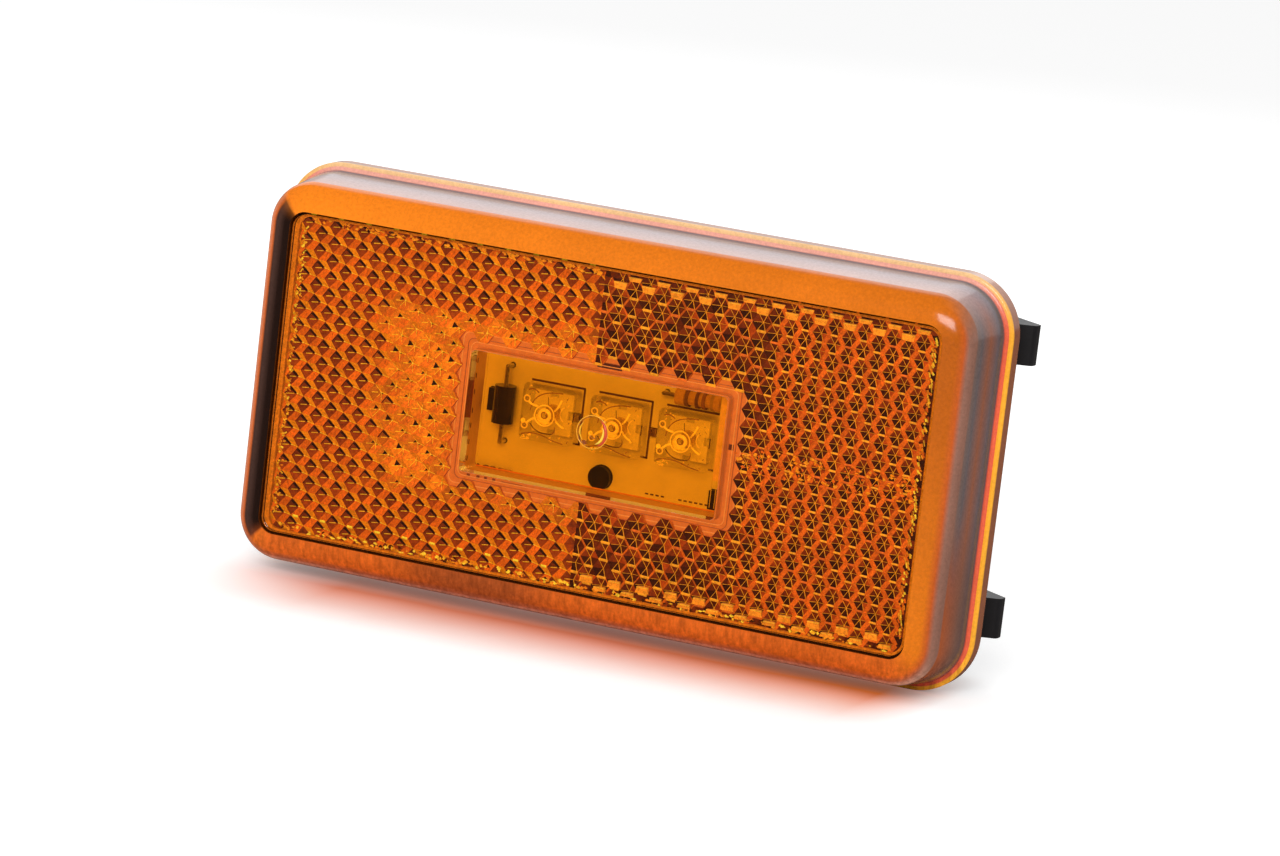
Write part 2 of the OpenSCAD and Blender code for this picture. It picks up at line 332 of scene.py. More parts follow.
def floor():
    mesh = bpy.data.meshes.new("floor")
    half = 6.0
    z = FLOOR_Z * MM
    mesh.from_pydata([(-half, -half, z), (half, -half, z), (half, half, z), (-half, half, z)],
                     [], [(0, 1, 2, 3)])
    p = Paint("floor_white")
    spot = p.add("SeparateXYZ", {0: p.where}).outputs
    # the amber light that the lamp throws on the floor lies in a soft stripe in front of it
    wave = p.math("MULTIPLY", p.math("SUBTRACT", p.noise(0.05), 0.5), 3 * MM)
    middle = p.remap(spot[0], -48 * MM, 48 * MM, -10.5 * MM, -7 * MM)
    ahead = p.math("SUBTRACT", p.math("ADD", spot[1], wave), middle)
    reach = p.colours(p.remap(ahead, -32 * MM, 20 * MM, 0.0, 1.0),
                      (0.0, (0, 0, 0)), (0.2, (0.16,) * 3), (0.4, (0.62,) * 3), (0.58, (1,) * 3),
                      (0.78, (0.6,) * 3), (1.0, (0, 0, 0)))
    ends = p.math("MULTIPLY", p.remap(spot[0], -54 * MM, -34 * MM, 0.0, 1.0),
                  p.remap(spot[0], 50 * MM, 42 * MM, 0.0, 1.0))
    tint = p.colours(p.remap(spot[0], -35 * MM, 40 * MM, 0.0, 1.0), (0.0, (0.7, 0.24, 0.14)),
                     (0.55, (0.68, 0.2, 0.1)), (1.0, (0.72, 0.18, 0.04)))
    glow = p.add("MixRGB", {"Fac": p.math("MULTIPLY", reach, ends), "Color1": (1, 1, 1, 1), "Color2": tint})
    glow = glow.outputs["Color"]
    diffuse = p.add("BsdfDiffuse", {"Color": glow}).outputs[0]
    lift = p.add("Emission", {"Color": glow, "Strength": 0.3}).outputs[0]
    dull = p.add("BsdfDiffuse", {"Color": (0.12, 0.1, 0.09, 1)}).outputs[0]
    path = p.add("LightPath").outputs
    seen = p.add("AddShader", {0: diffuse, 1: lift}).outputs[0]
    seen = p.add("MixShader", {0: path["Is Camera Ray"], 1: diffuse, 2: seen}).outputs[0]
    p.surface(p.add("MixShader", {0: path["Is Glossy Ray"], 1: seen, 2: dull}).outputs[0])
    mesh.materials.append(p.material)
    obj = bpy.data.objects.new("floor", mesh)
    bpy.context.scene.collection.objects.link(obj)


floor()


def world():
    """White to the camera, even white for soft light, and in reflections a studio that is dark to
    the front and left and white behind."""
    w = bpy.data.worlds.new("studio")
    bpy.context.scene.world = w
    w.use_nodes = True
    tree = w.node_tree
    tree.nodes.clear()

    def add(kind, inputs=None, **props):
        return add_node(tree, kind, inputs, **props)

    path = add("LightPath").outputs
    way = add("SeparateXYZ", {0: add("TexCoord").outputs["Generated"]}).outputs
    behind = add("MapRange", {"Value": way[1], "From Min": -0.1, "From Max": 0.35,
                              "To Min": 0.0, "To Max": 1.0}).outputs[0]
    rightwards = add("MapRange", {"Value": way[0], "From Min": -0.9, "From Max": -0.6,
                                  "To Min": 0.0, "To Max": 1.0}).outputs[0]
    sheen = add("Math", {0: behind, 1: rightwards}, operation="MULTIPLY").outputs[0]
    sheen = add("Math", {0: sheen, 1: 0.5}, operation="MULTIPLY").outputs[0]
    sheen = add("Math", {0: sheen, 1: 0.05}, operation="ADD").outputs[0]
    soft = add("MapRange", {"Value": path["Is Camera Ray"], "From Min": 0.0, "From Max": 1.0,
                            "To Min": 0.62, "To Max": 1.1}).outputs[0]
    reflected = add("Math", {0: sheen, 1: path["Is Glossy Ray"]}, operation="MULTIPLY").outputs[0]
    plain = add("Math", {0: 1.0, 1: path["Is Glossy Ray"]}, operation="SUBTRACT").outputs[0]
    plain = add("Math", {0: plain, 1: soft}, operation="MULTIPLY").outputs[0]
    strength = add("Math", {0: plain, 1: reflected}, operation="ADD").outputs[0]
    shader = add("Background", {"Color": (1, 1, 1, 1), "Strength": strength}).outputs[0]
    tree.links.new(shader, add("OutputWorld").inputs["Surface"])


world()


def softbox(name, way, distance, size, power):
    """A white rectangular light, turned to the lamp from a direction and a distance in metres."""
    light = bpy.data.lights.new(name, "AREA")
    light.shape = "RECTANGLE"
    light.size, light.size_y = size
    light.energy = power
    obj = bpy.data.objects.new(name, light)
    way = Vector(way).normalized()
    obj.location = way * distance
    obj.rotation_euler = way.to_track_quat("Z", "Y").to_euler()
    obj.visible_camera = False
    bpy.context.scene.collection.objects.link(obj)


softbox("softbox_top", (-0.40, 0.69, 0.60), 0.55, (0.6, 0.4), 0.7)
softbox("softbox_front", (0.18, -0.89, 0.42), 0.8, (0.42, 0.26), 3.6)

# ---------------------------------------------------------------- lens frame
# dark tone of a reflection painted on the left bezel
DARK_REFLECTION = srgb(30, 14, 8)
# painted shade on the moulding's faces inside the seam round the panel and behind it
SEAM_SHADE = srgb(60, 26, 4)


def bend(a, b, c, count=10):
    """Points on the curve from a to c that b pulls towards itself."""
    out = []
    for i in range(count + 1):
        t = i / count
        out.append(tuple((1 - t) ** 2 * p + 2 * t * (1 - t) * q + t * t * r for p, q, r in zip(a, b, c)))
    return out


def straight(a, b, count):
    """The points between a and b, without both ends."""
    return [tuple(p + (q - p) * i / count for p, q in zip(a, b)) for i in range(1, count)]


def quarter(centre, r, a0, count):
    """A quarter circle from the angle a0, in degrees."""
    return [(centre[0] + r * math.cos(math.radians(a0 + 90 * i / count)),
             centre[1] + r * math.sin(math.radians(a0 + 90 * i / count))) for i in range(count + 1)]


def lens_section():
    """(offset, y, part) round the frame's section."""
    parts = [
        ("bezel", bend((0, FACE_Y + 0.05), (1.9, FACE_Y + 0.2), (BEZEL_W - 0.45, CROWN_Y - 0.32), 22)),
        ("crown", bend((BEZEL_W - 0.25, CROWN_Y - 0.16), (BEZEL_W + 0.1, CROWN_Y + 0.1),
                       (BEZEL_W + 0.3, CROWN_Y + 1), 8)),
        ("wall", straight((BEZEL_W + 0.3, CROWN_Y + 1), (FOOT_OUT, FOOT_Y - 0.3), 20)),
        ("fillet", bend((FOOT_OUT, FOOT_Y - 0.3), (FOOT_OUT + 0.05, FOOT_Y), (FOOT_OUT + 0.4, FOOT_Y), 5)),
        ("flange", [(FOOT_OUT + 0.5, FOOT_Y)]),
        ("flange", quarter((LIP_OUT - LIP_R, FOOT_Y + LIP_R), LIP_R, -90, 6)),
        ("lip", straight((LIP_OUT, FOOT_Y + LIP_R), (LIP_OUT, -LIP_R), 12)),
        ("back", quarter((LIP_OUT - LIP_R, -LIP_R), LIP_R, 0, 5)),
        ("back", [(3.4, 0.0), (3.4, -5.5), (2.6, -5.5), (1.6, PANEL_BACK + 1),
                  (-1.2, PANEL_BACK + 1), (-1.2, PANEL_BACK + 0.05), (0.0, PANEL_BACK + 0.05)]),
        ("throat", straight((0.0, PANEL_BACK + 0.05), (0, FACE_Y + 0.05), 6)),
    ]
    return [(s, y, name) for name, points in parts for s, y in points]


def stations():
    """(arc centre x, z, outward normal x, z) round the panel's edge."""
    rw, rh = EDGE_W - INNER_R, EDGE_H - INNER_R
    out = []
    arc_steps, long_steps, short_steps = 28, 60, 30
    corners = ((rw, rh), (-rw, rh), (-rw, -rh), (rw, -rh))
    for k, (cx, cz) in enumerate(corners):
        for i in range(arc_steps + 1):
            a = math.pi / 2 * (k + i / arc_steps)
            out.append((cx, cz, math.cos(a), math.sin(a)))
        nx, nz = math.cos(math.pi / 2 * (k + 1)), math.sin(math.pi / 2 * (k + 1))
        ex, ez = corners[(k + 1) % 4]
        count = long_steps if k % 2 == 0 else short_steps
        for i in range(1, count):
            out.append((cx + (ex - cx) * i / count, cz + (ez - cz) * i / count, nx, nz))
    return out


def steps(x, *stops):
    """The colour at x between (place, colour) stops."""
    for (x0, c0), (x1, c1) in zip(stops, stops[1:]):
        if x <= x1:
            return blend(c0, c1, min(1.0, max(0.0, (x - x0) / (x1 - x0))))
    return stops[-1][1]


def frame_tone(s, y, part, x, z, nx, nz):
    """The amber moulding's colour at one point of its section and edge, with painted light and shade: faces
    turned up are painted lighter and faces turned down darker, and the crown and walls carry painted
    reflections of the studio.
    """
    top, low, right, left = (max(0.0, v) ** 2 for v in (nz, -nz, nx, -nx))
    height = (z + EDGE_H) / (2 * EDGE_H)
    along = (x + EDGE_W) / (2 * EDGE_W)
    if part in ("bezel", "crown"):
        side_top = blend(srgb(238, 126, 22), srgb(204, 104, 16), along)
        side_right = blend(srgb(214, 112, 14), srgb(176, 86, 10), ramp(0.0, 0.8, height))
        middle = ramp(15, 3, abs(x + 14))
        side_low = blend(srgb(206, 96, 26), srgb(138, 66, 30), 0.75 * middle)
        reddish = srgb(186, 84, 30)
        # painted reflections at the crown: grey on the right, pinkish white along the bottom
        side_right = steps(s, (1.9, side_right), (2.7, reddish), (3.2, srgb(140, 98, 82)))
        side_low = steps(s, (2.4, side_low), (3.1, srgb(170, 92, 58)), (3.6, srgb(225, 168, 140)))
        side_left = steps(s, (2.2, DARK_REFLECTION), (2.7, srgb(215, 104, 48)), (3.5, srgb(228, 150, 112)))
        inner = blend(DARK_REFLECTION, srgb(70, 46, 38), ramp(0.6, 2.0, s))
        side_left = blend(side_left, inner, ramp(2.5, 2.2, s))
        tone = tuple(top * a + low * b + right * c for a, b, c in zip(side_top, side_low, side_right))
        warm = tuple(left * c for c in srgb(232, 120, 26))
        # faces turned to the left carry the painted dark reflection, fading in as they turn further left
        reflection_mask = ramp(-0.62, -0.74, nx)
        return tuple(t + (1 - reflection_mask) * w + reflection_mask * left * d for t, w, d in zip(tone, warm, side_left)) \
            if reflection_mask < 1 else blend(tone, side_left, left)
    if part == "wall":
        # the walls carry painted reflections: pinkish white where they face up, grey bands at the sides
        u = (y - CROWN_Y - 1) / (FOOT_Y - 0.3 - CROWN_Y - 1)
        up = steps(u, (0.0, srgb(212, 166, 152)), (0.55, srgb(176, 154, 156)), (0.8, srgb(158, 148, 154)),
                   (0.9, srgb(92, 104, 114)), (1.0, srgb(112, 116, 124)))
        side = steps(u, (0.0, srgb(122, 98, 88)), (0.2, srgb(104, 92, 92)), (0.5, srgb(146, 88, 64)),
                     (0.78, srgb(104, 90, 92)), (0.88, srgb(66, 66, 78)), (1.0, srgb(84, 80, 90)))
        side = blend(steps(u, (0.0, srgb(176, 86, 40)), (0.6, srgb(122, 86, 72)), (1.0, srgb(70, 66, 74))),
                     side, ramp(0.1, 0.5, height))
        return blend(side, up, top)
    if part == "fillet":
        return blend(srgb(226, 96, 66), srgb(240, 170, 152), top)
    # faces turned up are painted lighter
    if part in ("flange", "lip", "back") and s > FOOT_OUT:
        lines = srgb(246, 170, 48) if part == "flange" else srgb(150, 88, 58)
        return blend(lines, srgb(244, 196, 140) if part == "flange" else srgb(222, 172, 150), top)
    # the seam's inner wall and the faces behind the panel: painted shade
    if part == "throat":
        return SEAM_SHADE
    if s <= 0.0:
        return shade(SEAM_SHADE, 0.7)
    return srgb(170, 80, 25)


def build_frame():
    """The amber moulding: its section swept round the panel's edge, with a tone at each point."""
    section = lens_section()
    around = stations()
    shape = Shape()
    rows, cols = len(around), len(section)
    verts, tones = [], []
    for cx, cz, nx, nz in around:
        for s, y, part in section:
            x, z = cx + nx * (INNER_R + s), cz + nz * (INNER_R + s)
            verts.append((x, y, z))
            tones.append(frame_tone(s, y, part, x, z, nx, nz))
    faces = []
    for i in range(rows):
        for j in range(cols):
            a, b = i * cols, (i + 1) % rows * cols
            k = (j + 1) % cols
            faces.append((a + j, a + k, b + k, b + j))
    shape.verts, shape.faces, shape.tones = verts, faces, tones

    p = Paint("amber_moulding")
    grain = p.noise(2.4, 4.0, 0.7)
    cloud = p.noise(0.06, 2.0)
    streak = p.noise(1.6, 3.0, 0.65, (1, 1, 0.16))
    spot = p.add("SeparateXYZ", {0: p.where}).outputs
    low = p.remap(spot[2], -(EDGE_H - 0.5) * MM, -(EDGE_H + 0.5) * MM, 0.0, 1.0)
    tone = p.times(p.tone(), p.remap(grain, 0.3, 0.7, 0.86, 1.14))
    tone = p.times(tone, p.remap(cloud, 0.3, 0.7, 0.93, 1.07))
    # fine vertical streaks, lighter and darker, along the bottom of the moulding
    bottom_streaks = p.math("ADD", p.math("MULTIPLY", p.remap(streak, 0.35, 0.65, -0.24, 0.24), low), 1.0)
    tone = p.times(tone, bottom_streaks)
    p.principled(tone, 0.16, IOR=1.5, Specular_IOR_Level=0.4, Normal=p.bump(grain, 0.08, 0.05))
    obj = piece("lens_shell", shape, p.material, domain="POINT", smooth=True)
    obj.data.set_sharp_from_angle(angle=math.radians(40))
    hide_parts("lens_frame")


build_frame()

# ---------------------------------------------------------------- reflex panel
# the prisms are hexagonal cells: a cell's width across its corners is 2 CELL, its height is ROW, and
# PHASE is the centre of one of them
LEFT_CELL = 2.02 / 1.5
STAR_CELL = 2.0 / 1.5
ROW = 2.305
LEFT_PHASE = (2.95, 0.62)
STAR_PHASE = (1.2, 1.82)
# depths of a cell's apex and of its low and high corners, and how far the left block's apexes lean
APEX_Y, MID_Y, CREST_Y = -11.75, -12.08, -12.41
LEAN_X, LEAN_Z = 0.31, 0.12
# where the panel's blocks of prisms meet
BLOCK_X = -1.2
BLOCK_Z = 0.45
BLOCK_TURN = 20.7
# the prisms' faces are all one amber plastic, and these colours are painted light and shade: YELLOW for
# painted highlights, BRIGHT and RED for lit faces, DARK and BLACK for painted shade
YELLOW = srgb(255, 196, 30)
BRIGHT = srgb(242, 134, 8)
RED = srgb(217, 92, 10)
DARK = srgb(142, 52, 4)
BLACK = srgb(44, 15, 0)


def clip(polygon, limits):
    """Cuts a convex polygon of (x, y, z) points by half planes (a, b, c): a x + b z <= c."""
    for a, b, c in limits:
        out = []
        for i, p in enumerate(polygon):
            q = polygon[(i + 1) % len(polygon)]
            dp, dq = a * p[0] + b * p[2] - c, a * q[0] + b * q[2] - c
            if dp <= 0:
                out.append(p)
            if dp * dq < 0:
                t = dp / (dp - dq)
                out.append(tuple(u + (v - u) * t for u, v in zip(p, q)))
        polygon = out
        if len(polygon) < 3:
            return []
    return polygon


def area(polygon):
    return 0.5 * sum(polygon[i][0] * polygon[i - 1][2] - polygon[i - 1][0] * polygon[i][2]
                     for i in range(len(polygon)))


class Relief:
    """A faceted sheet whose polygons meet edge to edge, closed at the back."""

    def __init__(self, limits):
        self.limits = limits
        self.index = {}
        self.verts = []
        self.faces = []
        self.tones = []

    def vertex(self, p):
        key = tuple(round(c * 1e3) for c in p)
        if key not in self.index:
            self.index[key] = len(self.verts)
            self.verts.append(p)
        return self.index[key]

    def add(self, polygon, tone):
        polygon = clip(polygon, self.limits)
        size = area(polygon)
        if abs(size) < 1e-3:
            return
        if size > 0:
            polygon = polygon[::-1]
        ids = []
        for p in polygon:
            i = self.vertex(p)
            if i not in ids:
                ids.append(i)
        if len(ids) > 2:
            self.faces.append(tuple(ids))
            self.tones.append(tone)

    def close(self, shape, back, tone):
        n = len(self.verts)
        verts = self.verts + [(x, back, z) for x, _, z in self.verts]
        edges = {}
        for f in self.faces:
            for i, a in enumerate(f):
                edges[(f[i - 1], a)] = True
        faces = list(self.faces) + [tuple(n + i for i in reversed(f)) for f in self.faces]
        sides = [(b, a, n + a, n + b) for a, b in edges if (b, a) not in edges]
        shape.add(verts, faces + sides, self.tones + [tone] * (len(self.faces) + len(sides)))


def panel_limits(x0, x1, z0, z1):
    """Half planes of one block: its rectangle, and the panel's rounded corners inside the rim."""
    left, other, r = 0.7, 0.3, 1.6
    half_w, half_h = EDGE_W - SEAM, EDGE_H - SEAM
    limits = [(-1, 0, -max(x0, -half_w + left)), (1, 0, min(x1, half_w - other)),
              (0, -1, -max(z0, -half_h + other)), (0, 1, min(z1, half_h - other))]
    for sx in (-1, 1):
        edge = half_w - (left if sx < 0 else other)
        for sz in (-1, 1):
            cx, cz = sx * (edge - r), sz * (half_h - other - r)
            for i in range(1, 8):
                a = math.pi / 2 * i / 8
                nx, nz = sx * math.cos(a), sz * math.sin(a)
                limits.append((nx, nz, nx * cx + nz * cz + r))
    return limits


def lattice(x0, x1, z0, z1, phase, cell):
    """Centres of the hexagonal cells near a rectangle."""
    step_x = 1.5 * cell
    first = math.floor((x0 - phase[0]) / step_x) - 1
    last = math.ceil((x1 - phase[0]) / step_x) + 1
    for i in range(first, last + 1):
        cx = phase[0] + i * step_x
        lift = phase[1] + (ROW / 2 if i % 2 else 0)
        low = math.floor((z0 - lift) / ROW) - 1
        high = math.ceil((z1 - lift) / ROW) + 1
        for j in range(low, high + 1):
            yield cx, lift + j * ROW


def corner(cx, cz, k, cell):
    """The k-th corner of a cell; the corners are low and high by turns."""
    a = math.pi / 3 * k
    y = MID_Y if k % 2 == 0 else CREST_Y
    return (cx + cell * math.cos(a), y, cz + ROW / math.sqrt(3) * math.sin(a))


def between(a, b, t):
    return tuple(u + (v - u) * t for u, v in zip(a, b))


def framed(cx, cz, margin=1.0):
    """Whether a cell would lie on the plain frame round the window."""
    return (abs(cx) < WINDOW_HALF[0] + WELL_T + margin
            and abs(cz - WINDOW_Z) < WINDOW_HALF[1] + WELL_T + margin)


def vary(tone, amount):
    return shade(tone, 1 + rng.uniform(-amount, amount))


def chip(bars, corners, rise, tone):
    """A thin flat tile just in front of the relief."""
    flat = [(x, y - rise, z) for x, y, z in corners]
    back = [(x, y + 0.05, z) for x, y, z in corners]
    n = len(corners)
    faces = [tuple(range(n - 1, -1, -1)), tuple(range(n, 2 * n))]
    faces += [(i, (i + 1) % n, n + (i + 1) % n, n + i) for i in range(n)]
    bars.add(flat + back, faces, tone)


def left_block(shape, bars):
    """Cube-corner prisms of one amber plastic: each cell has a dark, an orange and a red-orange face,
    painted light and shade, with yellow bars as painted highlights and black chips as painted shade.
    """
    x0, x1, z0, z1 = -EDGE_W, BLOCK_X, -EDGE_H, EDGE_H
    relief = Relief(panel_limits(x0, x1, z0, z1))
    for cx, cz in lattice(x0, x1, z0, z1, LEFT_PHASE, LEFT_CELL):
        if framed(cx, cz, 0.4):
            continue
        c = (cx + LEAN_X, APEX_Y, cz + LEAN_Z)
        v = [corner(cx, cz, k, LEFT_CELL) for k in range(6)]
        # cells in the middle of the left block are painted lighter, a painted pool of light
        lit = ramp(-33, -28, cx + rng.uniform(-1.5, 1.5)) * ramp(13, 10, abs(cz + rng.uniform(-1, 1)))
        edge = EDGE_W - 2.6 + cx < 0 or abs(cz) > EDGE_H - 2.2
        dark = vary(blend(DARK, srgb(226, 114, 14), lit), 0.25)
        relief.add([c, v[0], v[1], v[2]], vary(blend(BRIGHT, srgb(232, 122, 14), lit), 0.1))
        relief.add([c, v[4], v[5], v[0]], vary(blend(RED, srgb(226, 104, 18), lit), 0.15))
        relief.add([c, v[2], v[3]], blend(dark, BLACK, 0.0 if lit > 0.5 else 0.35))
        relief.add([c, v[3], v[4]], dark)
        if not all(a * cx + b * cz <= k - 0.55 for a, b, k in relief.limits):
            continue
        # black chips: painted shade on the faces
        black = vary(BLACK, 0.3)
        if lit < 0.5:
            chip(bars, [between(c, v[2], 0.1), between(c, v[3], 0.18), between(v[2], v[3], 0.3),
                        between(c, v[2], 0.82)], 0.02, black)
            chip(bars, [v[3], between(v[3], v[2], 0.96), between(between(v[3], v[2], 0.96), c, 0.1),
                        between(v[3], c, 0.1)], 0.02, vary(srgb(82, 28, 2), 0.2))
        else:
            bite = rng.choice((0, 1, 2, 3))
            if bite:
                far = between(c, v[2], 0.2 + 0.18 * bite)
                chip(bars, [between(c, v[2], 0.12), between(c, v[3], 0.3 + 0.08 * bite), far], 0.02, black)
            if rng.random() < 0.4:
                chip(bars, [between(c, v[0], 0.15), between(c, v[0], 0.45), between(c, v[5], 0.2)],
                     0.02, black)
            if rng.random() < 0.35:
                bars.ridge(between(c, v[4], 0.1), between(c, v[4], 1.0), 0.09, 0.03, vary(DARK, 0.3))
        # spots on the red face
        if rng.random() < 0.75:
            a, b = between(c, v[5], rng.uniform(0.25, 0.6)), between(c, v[0], 0.35)
            chip(bars, [between(a, b, 0.05), between(a, b, 0.5), between(a, v[5], 0.5)], 0.015,
                 vary(srgb(186, 62, 16), 0.2))
        # yellow bars along the cell's edges and at its apex: painted highlights
        glint = vary(YELLOW, 0.14)
        bars.ridge(between(c, v[0], 0.0), between(c, v[0], 1.0), 0.19, 0.05, glint)
        bars.ridge(between(c, v[3], 0.26), between(c, v[3], 0.72), 0.19, 0.05, blend(glint, BRIGHT, 0.2))
        bars.ridge((c[0] - 0.14, APEX_Y, c[2] + 0.02), (c[0] + 0.16, APEX_Y, c[2] - 0.03), 0.3, 0.08,
                   srgb(255, 206, 60))
        if lit > 0.5:
            for k in (1, 2, 4, 5):
                if rng.random() < 0.75:
                    bars.ridge(c, between(c, v[k], rng.uniform(0.4, 0.85)), 0.16, 0.04, vary(YELLOW, 0.15))
        # painted highlights on cells near the panel's edge
        if edge:
            bars.ridge(between(v[1], v[2], 0.1), between(v[1], v[2], 0.75), 0.32, 0.05, srgb(255, 216, 50))
    relief.close(shape, PANEL_BACK, RED)


def star_block(shape, bars, x0, x1, z0, z1):
    """Prisms seen as six dark triangles between bright lines, with bars between the cells: on one amber
    plastic the triangles are painted shade and the lines and bars painted highlights.
    """
    relief = Relief(panel_limits(x0, x1, z0, z1))
    for cx, cz in lattice(x0, x1, z0, z1, STAR_PHASE, STAR_CELL):
        if framed(cx, cz, 0.2):
            continue
        c = (cx, APEX_Y, cz)
        v = [corner(cx, cz, k, STAR_CELL) for k in range(6)]
        warm = ramp(17, 27, cx + rng.uniform(-1, 1))
        for k in range(6):
            base = srgb(62, 20, 0) if k in (3, 4) else srgb(96, 32, 2)
            if k in (0, 5) and rng.random() < 0.25:
                base = srgb(172, 62, 8)
            if k in (1, 2) and rng.random() < 0.5:
                base = srgb(126, 44, 4)
            relief.add([c, v[k], v[(k + 1) % 6]], vary(base, 0.3))
        if abs(cx) > EDGE_W - SEAM - 0.9 or abs(cz) > EDGE_H - SEAM - 0.9 or cx < x0 - STAR_CELL:
            continue
        line = vary(srgb(250, 158, 22), 0.15)
        for k in (1, 2, 4, 5):
            if v[k][0] > x0:
                bars.ridge(c, between(c, v[k], 0.97), 0.18, 0.05, line)
        if warm > 0.3 or rng.random() < 0.6:
            for k in (0, 3):
                bars.ridge(c, between(c, v[k], 0.8), 0.15, 0.04, shade(line, 0.85))
        # painted highlight: a bright bar on the flat between this cell and the one below
        side = 0.36 if warm < 0.5 else 0.28
        bars.ridge(between(v[4], v[5], -0.05), between(v[4], v[5], 1.05), side, 0.04,
                   vary(srgb(248, 158, 34) if rng.random() < 0.7 else srgb(226, 104, 30), 0.15))
        web = vary(srgb(213, 90, 12), 0.14)
        if warm > 0.5:
            for a, b in ((5, 0), (0, 1)):
                bars.ridge(between(v[a], v[b], -0.04), between(v[a], v[b], 1.04), 0.62, 0.04, web)
        elif rng.random() < 0.75:
            for a, b in ((5, 0), (0, 1)):
                bars.ridge(v[a], v[b], rng.uniform(0.18, 0.34), 0.03, shade(web, rng.uniform(0.75, 1.0)))
    relief.close(shape, PANEL_BACK, RED)


def trapezoid(bars, x, z, w, h, flip, tone):
    """A block with slanted ends, as wide as 2 w on one side; flip turns it upside down."""
    outline = [(x - w, z + h), (x - w * 0.78, z - h), (x + w * 0.78, z - h), (x + w, z + h)]
    if flip:
        outline = [(px, 2 * z - pz) for px, pz in outline][::-1]
    bars.prism(outline, CREST_Y - 0.1, PANEL_BACK, tone)


def scraps(bars, x0, x1, z, spread, count, tones):
    """Small facets of the cells that the border cuts, bright and dark as painted light and shade."""
    for _ in range(count):
        x, d = rng.uniform(x0, x1), rng.uniform(-spread, spread)
        w, h = rng.uniform(0.12, 0.42), rng.uniform(0.08, 0.26)
        turn = rng.uniform(-0.5, 0.5)
        chip(bars, [(x - w, CREST_Y, z + d - h * turn), (x + w * turn, CREST_Y, z + d - h),
                    (x + w, CREST_Y, z + d + h * turn), (x - w * 0.3, CREST_Y, z + d + h)],
             rng.uniform(0.04, 0.09), vary(rng.choice(tones), 0.12))


def border_blocks(bars):
    """Cut cells along the panel's edges and between its blocks, painted bright and dark as painted light
    and shade, with bright bars as painted highlights.
    """
    half_w, half_h = EDGE_W - SEAM - 0.3, EDGE_H - SEAM - 0.3
    step = 3 * STAR_CELL
    for edge in (1, -1):
        x = STAR_PHASE[0] - step
        while x < half_w - 2.4:
            for shift, depth, h in ((0.0, 1.6, 0.42), (2.0, 0.6, 0.28)):
                tone = vary(srgb(242, 140, 30), 0.12)
                px = x + shift
                if BLOCK_X + 1 < px < half_w - 2:
                    trapezoid(bars, px, edge * (half_h - depth), 0.95, h, edge < 0, tone)
                    bars.ridge((px - 0.8, CREST_Y - 0.1, edge * (half_h - depth) + h - 0.1),
                               (px + 0.8, CREST_Y - 0.1, edge * (half_h - depth) + h - 0.1),
                               0.14, 0.05, srgb(255, 206, 60))
            x += step
    warm = srgb(236, 140, 22)
    hot = (srgb(248, 176, 34), warm, srgb(255, 206, 50), srgb(226, 120, 18))
    mixed = hot + (srgb(150, 60, 4), srgb(70, 26, 0))
    scraps(bars, -half_w + 2, BLOCK_X, -half_h + 0.42, 0.36, 190, mixed)
    scraps(bars, -half_w + 2, BLOCK_X, half_h - 0.35, 0.3, 120, (srgb(232, 130, 18), warm, DARK))
    scraps(bars, BLOCK_X, half_w - 2, -half_h + 0.36, 0.3, 130, mixed)
    scraps(bars, BLOCK_TURN - 1, half_w - 1, BLOCK_Z - 0.4, 1.7, 170, (warm, DARK, RED, RED, BRIGHT))
    for z in range(int(-half_h) + 2, int(half_h) - 1):
        for _ in range(5):
            zz = z + rng.uniform(-0.5, 0.5)
            x = half_w - rng.uniform(0.25, 0.9)
            bars.ridge((x, CREST_Y, zz), (x - rng.uniform(0.1, 0.35), CREST_Y, zz + rng.uniform(0.2, 0.7)),
                       rng.uniform(0.12, 0.3), 0.06, vary(rng.choice(hot + (RED,)), 0.12))
            x = -half_w + 0.55 + rng.uniform(0.1, 0.8)
            bars.ridge((x, CREST_Y, zz), (x + rng.uniform(0.1, 0.4), CREST_Y, zz + rng.uniform(-0.3, 0.4)),
                       rng.uniform(0.12, 0.3), 0.05, vary(rng.choice(hot), 0.12))


def light_through(obj):
    """The amber moulding lets light through to the board behind it."""
    obj.visible_shadow = False
    obj.visible_diffuse = False


def build_panel():
    """The relief of prisms on the panel's back, in four blocks, with painted light and shade on its faces,
    and the bright bars of painted highlights on it.
    """
    p = Paint("reflex_prisms")
    mottle = p.noise(2.6, 3.0, 0.75)
    fine = p.noise(9.0, 2.0, 0.6)
    tone = p.times(p.tone(), p.remap(mottle, 0.32, 0.68, 0.7, 1.4))
    tone = p.times(tone, p.remap(fine, 0.3, 0.7, 0.85, 1.15))
    p.principled(tone, 0.45, IOR=1.5, Specular_IOR_Level=0.03, Normal=p.bump(mottle, 0.15, 0.05))
    shape, bars = Shape(), Shape()
    left_block(shape, bars)
    star_block(shape, bars, BLOCK_X, EDGE_W, BLOCK_Z, EDGE_H)
    star_block(shape, bars, BLOCK_TURN, EDGE_W, -EDGE_H, BLOCK_Z)
    star_block(shape, bars, BLOCK_X, BLOCK_TURN, -EDGE_H, BLOCK_Z)
    border_blocks(bars)
    # rim round the prisms, wider on the left
    outer = rounded(EDGE_W - SEAM, EDGE_H - SEAM, 1.9)
    inner = []
    for x, z in outer:
        near_end = min(1, max(0, abs(x) - EDGE_W + 3) / 3)
        inner.append((x + near_end * (0.72 if x < 0 else -0.3), z - math.copysign(0.3, z)))
    shape.loop(outer, inner, -12.55, PANEL_BACK, srgb(216, 112, 12))
    obj = piece("reflex_prisms", shape, p.material)
    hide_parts("reflex_panel")
    light_through(obj)
    # the bars and chips carry painted highlights and painted shade
    light_through(piece("reflex_painted_light_marks", bars, p.material))


